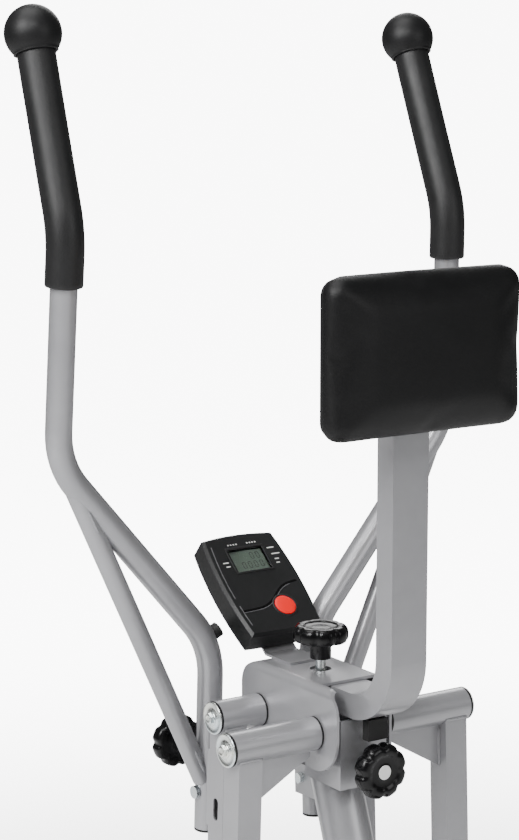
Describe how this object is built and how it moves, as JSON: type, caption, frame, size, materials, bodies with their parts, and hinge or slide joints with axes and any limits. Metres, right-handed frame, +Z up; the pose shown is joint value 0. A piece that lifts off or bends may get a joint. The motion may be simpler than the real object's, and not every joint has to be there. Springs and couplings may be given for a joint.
{
  "type": "pendulum glider trainer",
  "caption": "Full-body glider with swinging parallel legs and handles on one slanted post, a waist pad, a small computer, level foot plates and a folding stand.",
  "frame": {"origin": "on the floor, at the middle of the whole machine", "axes": "+X to the user's right, +Y forwards, the way the user faces, +Z up"},
  "size_m": [0.6526, 0.8366, 1.5933],
  "materials": {
    "silver_paint": "satin",
    "zinc": "satin",
    "black_nylon": "matte",
    "black_rubber": "matte",
    "foam": "matte",
    "ball_plastic": "matte",
    "knob_plastic": "gloss",
    "pedal_plastic": "matte",
    "console_plastic": "matte",
    "window": "gloss",
    "circuit_board": "matte",
    "red_button": "satin",
    "plywood": "matte",
    "leatherette": "satin"
  },
  "bodies": {
    "frame": {"head_bracket": "silver_paint", "main_post": "silver_paint", "post_saddle": "silver_paint", "rear_axle": "zinc", "front_axle": "zinc", "axle_end_fasteners": "zinc", "clamp_nut": "zinc", "rear_floor_bar": "silver_paint", "rear_floor_caps": "black_nylon", "fold_bolt": "zinc", "console_bracket": "silver_paint", "console_rear_shell": "console_plastic", "console_front_shell": "console_plastic", "console_window": "window", "console_board": "circuit_board", "console_screws": "zinc"},
    "front_stand": {"front_strut": "silver_paint", "front_floor_bar": "silver_paint", "front_floor_caps": "black_nylon"},
    "fold_knob": {"fold_knob": "knob_plastic"},
    "pad_knob": {"pad_knob": "knob_plastic", "pad_knob_stud": "zinc"},
    "lock_knob": {"lock_knob": "knob_plastic", "lock_knob_stud": "zinc"},
    "console_button": {"console_button": "red_button"},
    "pad": {"pad_post": "silver_paint", "pad_board": "plywood", "pad_cushion": "leatherette", "pad_screws": "zinc", "pad_stop": "black_rubber"},
    "left_rear_swing": {"left_rear_leg": "silver_paint", "left_rear_bushes": "black_nylon"},
    "left_front_swing": {"left_front_leg": "silver_paint", "left_front_bushes": "black_nylon", "left_handle_tube": "silver_paint", "left_handle_brace": "silver_paint", "left_handle_plug": "black_nylon", "left_handle_grip": "foam", "left_handle_ball": "ball_plastic", "left_handle_bolt": "zinc", "left_handle_bumper": "black_rubber"},
    "left_handle_knob": {"left_handle_knob": "knob_plastic"},
    "left_pedal": {"left_pedal_carrier": "silver_paint", "left_foot_plate": "pedal_plastic", "left_pedal_pins": "zinc"},
    "right_rear_swing": {"right_rear_leg": "silver_paint", "right_rear_bushes": "black_nylon"},
    "right_front_swing": {"right_front_leg": "silver_paint", "right_front_bushes": "black_nylon", "right_handle_tube": "silver_paint", "right_handle_brace": "silver_paint", "right_handle_plug": "black_nylon", "right_handle_grip": "foam", "right_handle_ball": "ball_plastic", "right_handle_bolt": "zinc", "right_handle_bumper": "black_rubber"},
    "right_handle_knob": {"right_handle_knob": "knob_plastic"},
    "right_pedal": {"right_pedal_carrier": "silver_paint", "right_foot_plate": "pedal_plastic", "right_pedal_pins": "zinc"}
  },
  "joints": [
    {"name": "stand_fold", "type": "hinge", "parent": "frame", "child": "front_stand", "pos_m": [0, 0.0133, 0.535], "axis": [-1, 0, 0], "range_deg": [0, 55]},
    {"name": "fold_knob_turn", "type": "hinge", "parent": "front_stand", "child": "fold_knob", "pos_m": [0.03, 0.04065, 0.49802], "axis": [1, 0, 0], "range_deg": [0, 720]},
    {"name": "pad_knob_turn", "type": "hinge", "parent": "frame", "child": "pad_knob", "pos_m": [0, 0.0453, 0.82], "axis": [0, 0, 1], "range_deg": [-720, 720]},
    {"name": "lock_knob_turn", "type": "hinge", "parent": "frame", "child": "lock_knob", "pos_m": [0, -0.0457, 0.712], "axis": [0, -1, 0], "range_deg": [0, 720]},
    {"name": "pad_slide", "type": "slide", "parent": "frame", "child": "pad", "axis": [0, -1, 0], "range_m": [-0.014, 0.05]},
    {"name": "button_press", "type": "slide", "parent": "frame", "child": "console_button", "axis": [0, 0.6428, -0.766], "range_m": [0, 0.0012], "stiffness_N_per_m": 400, "springref_m": -0.0008},
    {"name": "left_swing", "type": "hinge", "parent": "frame", "child": "left_front_swing", "pos_m": [0, 0.1033, 0.75], "axis": [1, 0, 0], "range_deg": [-27.5, 22.5]},
    {"name": "left_rear_swing", "type": "hinge", "parent": "frame", "child": "left_rear_swing", "pos_m": [0, -0.0127, 0.75], "axis": [1, 0, 0], "range_deg": [-27.5, 22.5]},
    {"name": "left_pedal_level", "type": "hinge", "parent": "left_front_swing", "child": "left_pedal", "pos_m": [-0.1215, 0.12991, 0.14058], "axis": [1, 0, 0], "range_deg": [-22.5, 27.5]},
    {"name": "left_handle_knob_turn", "type": "hinge", "parent": "left_front_swing", "child": "left_handle_knob", "pos_m": [-0.077, 0.2196, 0.677], "axis": [0, 0.999, 0.0436], "range_deg": [0, 720]},
    {"name": "right_swing", "type": "hinge", "parent": "frame", "child": "right_front_swing", "pos_m": [0, 0.1033, 0.75], "axis": [1, 0, 0], "range_deg": [-22.5, 27.5]},
    {"name": "right_rear_swing", "type": "hinge", "parent": "frame", "child": "right_rear_swing", "pos_m": [0, -0.0127, 0.75], "axis": [1, 0, 0], "range_deg": [-22.5, 27.5]},
    {"name": "right_pedal_level", "type": "hinge", "parent": "right_front_swing", "child": "right_pedal", "pos_m": [0.1215, 0.07669, 0.14058], "axis": [1, 0, 0], "range_deg": [-27.5, 22.5]},
    {"name": "right_handle_knob_turn", "type": "hinge", "parent": "right_front_swing", "child": "right_handle_knob", "pos_m": [0.077, 0.21279, 0.66714], "axis": [0, 0.999, -0.0436], "range_deg": [0, 720]}
  ],
  "couplings": [
    {"joint": "left_rear_swing", "follows": "left_swing", "ratio": 1},
    {"joint": "left_pedal_level", "follows": "left_swing", "ratio": -1},
    {"joint": "right_rear_swing", "follows": "right_swing", "ratio": 1},
    {"joint": "right_pedal_level", "follows": "right_swing", "ratio": -1}
  ]
}
